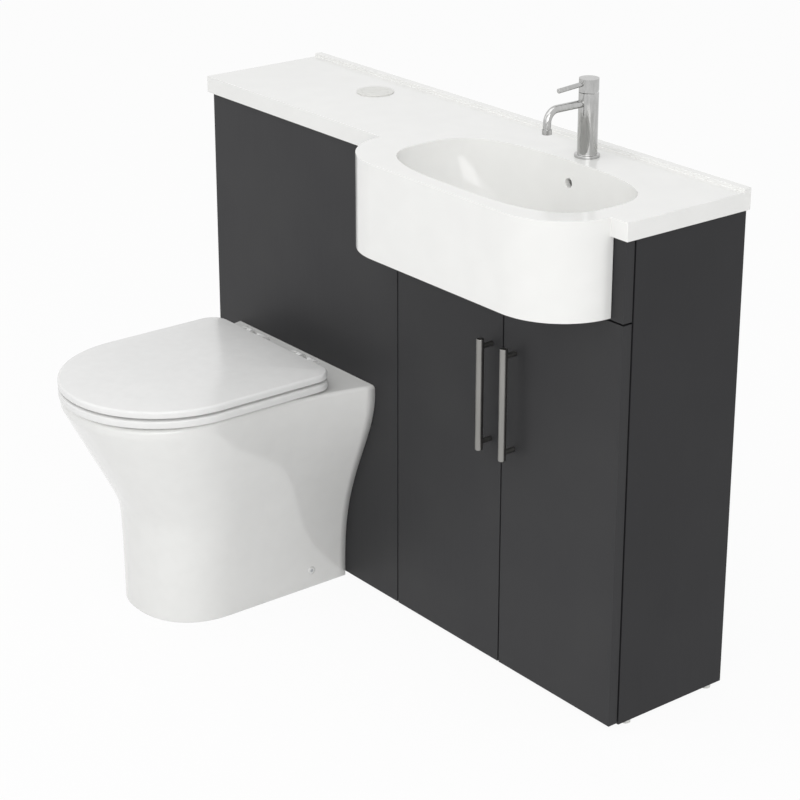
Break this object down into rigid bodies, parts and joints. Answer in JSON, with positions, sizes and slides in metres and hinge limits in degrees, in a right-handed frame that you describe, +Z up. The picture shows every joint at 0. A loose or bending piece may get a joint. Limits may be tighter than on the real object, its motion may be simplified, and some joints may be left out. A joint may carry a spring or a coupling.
{
  "type": "toilet and basin combination unit",
  "caption": "Slim grey toilet and basin combination unit with a one-piece white top, half-recessed basin, slim mixer tap, hinged doors and a back-to-wall pan with seat and lid.",
  "frame": {"origin": "middle of the unit's footprint on the floor, halfway from the wall to the front of the toilet seat", "axes": "+X along the wall towards the basin's end, +Y back to the wall, +Z up"},
  "size_m": [1.116, 0.735, 0.992],
  "materials": {
    "grey_front": "matt grey foil on board",
    "grey_side": "matt grey foil on board",
    "grey_carcass": "melamine-faced board",
    "marble_resin": "glossy cast top",
    "vitreous_china": "white glaze",
    "seat_plastic": "polished white thermoset",
    "white_plastic": "moulded white plastic",
    "chrome": "polished chrome plate",
    "satin_handle": "satin nickel",
    "zinc_steel": "zinc-plated steel",
    "black_rubber": "moulded rubber"
  },
  "bodies": {
    "cabinet": {"wc_side_left": "grey_side", "wc_side_right": "grey_carcass", "wc_rails": "grey_carcass", "wc_front_panel": "grey_front", "panel_battens": "grey_carcass", "vanity_side_left": "grey_carcass", "vanity_side_right": "grey_side", "vanity_base": "grey_carcass", "vanity_rails": "grey_carcass", "vanity_fascia": "grey_front", "cabinet_connectors": "zinc_steel", "cabinet_glides": "white_plastic", "door_bumpers": "black_rubber", "worktop_basin": "marble_resin", "tap_body": "chrome", "tap_spout": "chrome", "tap_aerator": "chrome", "tap_cartridge": "white_plastic", "tap_fixings": "zinc_steel", "waste_flange": "chrome", "waste_washer": "black_rubber", "waste_backnut": "chrome", "trap_body": "white_plastic", "trap_cup": "white_plastic", "trap_outlet_pipe": "white_plastic", "hinge_arms": "zinc_steel", "toilet_pan": "vitreous_china", "pan_fixings": "zinc_steel", "seat_hinge_posts": "chrome", "cistern_tank": "white_plastic", "cistern_lid": "white_plastic", "fill_valve": "white_plastic", "flush_valve": "white_plastic", "flush_bezel": "white_plastic", "flush_pipe": "white_plastic", "flush_cone": "black_rubber", "pan_connector": "white_plastic"},
    "tap_stem": {"tap_stem": "chrome"},
    "tap_lever": {"tap_lever_cap": "chrome", "tap_lever_rod": "chrome"},
    "waste_plug": {"waste_plug": "chrome"},
    "hinge_link_left": {"hinge_links_left": "zinc_steel"},
    "door_left": {"door_left": "grey_front", "hinge_cups_left": "zinc_steel", "handle_left": "satin_handle", "handle_screws_left": "zinc_steel"},
    "hinge_link_right": {"hinge_links_right": "zinc_steel"},
    "door_right": {"door_right": "grey_front", "hinge_cups_right": "zinc_steel", "handle_right": "satin_handle", "handle_screws_right": "zinc_steel"},
    "seat": {"toilet_seat": "seat_plastic", "seat_buffers": "black_rubber"},
    "lid": {"toilet_lid": "seat_plastic", "lid_buffers": "black_rubber"},
    "fill_float": {"fill_float": "white_plastic"},
    "flush_seal": {"flush_seal": "black_rubber"},
    "full_button": {"flush_button_full": "white_plastic"},
    "half_button": {"flush_button_half": "white_plastic"}
  },
  "joints": [
    {"name": "tap_swivel", "type": "hinge", "parent": "cabinet", "child": "tap_stem", "pos_m": [0.261, 0.2985, 0.977], "axis": [0, 0, 1], "range_deg": [-45, 45]},
    {"name": "tap_lift", "type": "hinge", "parent": "tap_stem", "child": "tap_lever", "pos_m": [0.261, 0.2985, 0.977], "axis": [-1, 0, 0], "range_deg": [0, 20]},
    {"name": "plug_click", "type": "slide", "parent": "cabinet", "child": "waste_plug", "axis": [0, 0, 1], "range_m": [0, 0.007]},
    {"name": "door_left_swing", "type": "hinge", "parent": "hinge_link_left", "child": "door_left", "pos_m": [0.0143, 0.1306, 0.347], "axis": [0, 0, -1], "range_deg": [0, 149]},
    {"name": "hinge_link_left_swing", "type": "hinge", "parent": "cabinet", "child": "hinge_link_left", "pos_m": [0.0403, 0.1467, 0.347], "axis": [0, 0, 1], "range_deg": [0, 54]},
    {"name": "door_right_swing", "type": "hinge", "parent": "hinge_link_right", "child": "door_right", "pos_m": [0.5357, 0.1306, 0.347], "axis": [0, 0, 1], "range_deg": [0, 149]},
    {"name": "hinge_link_right_swing", "type": "hinge", "parent": "cabinet", "child": "hinge_link_right", "pos_m": [0.5097, 0.1467, 0.347], "axis": [0, 0, -1], "range_deg": [0, 54]},
    {"name": "seat_tilt", "type": "hinge", "parent": "cabinet", "child": "seat", "pos_m": [-0.275, 0.0605, 0.4245], "axis": [-1, 0, 0], "range_deg": [0, 93]},
    {"name": "lid_tilt", "type": "hinge", "parent": "seat", "child": "lid", "pos_m": [-0.275, 0.0605, 0.4245], "axis": [1, 0, 0], "range_deg": [-93, 0]},
    {"name": "float_rise", "type": "slide", "parent": "cabinet", "child": "fill_float", "axis": [0, 0, 1], "range_m": [0, 0.06]},
    {"name": "full_flush_press", "type": "slide", "parent": "cabinet", "child": "full_button", "axis": [0, 0, -1], "range_m": [0, 0.006], "stiffness_N_per_m": 500},
    {"name": "half_flush_press", "type": "slide", "parent": "cabinet", "child": "half_button", "axis": [0, 0, -1], "range_m": [0, 0.006], "stiffness_N_per_m": 500},
    {"name": "seal_rise", "type": "slide", "parent": "cabinet", "child": "flush_seal", "axis": [0, 0, 1], "range_m": [0, 0.012]}
  ],
  "couplings": [
    {"joint": "hinge_link_left_swing", "follows": "door_left_swing", "ratio": 0.3624},
    {"joint": "hinge_link_right_swing", "follows": "door_right_swing", "ratio": 0.3624},
    {"joint": "seal_rise", "follows": "full_flush_press", "ratio": 2}
  ]
}
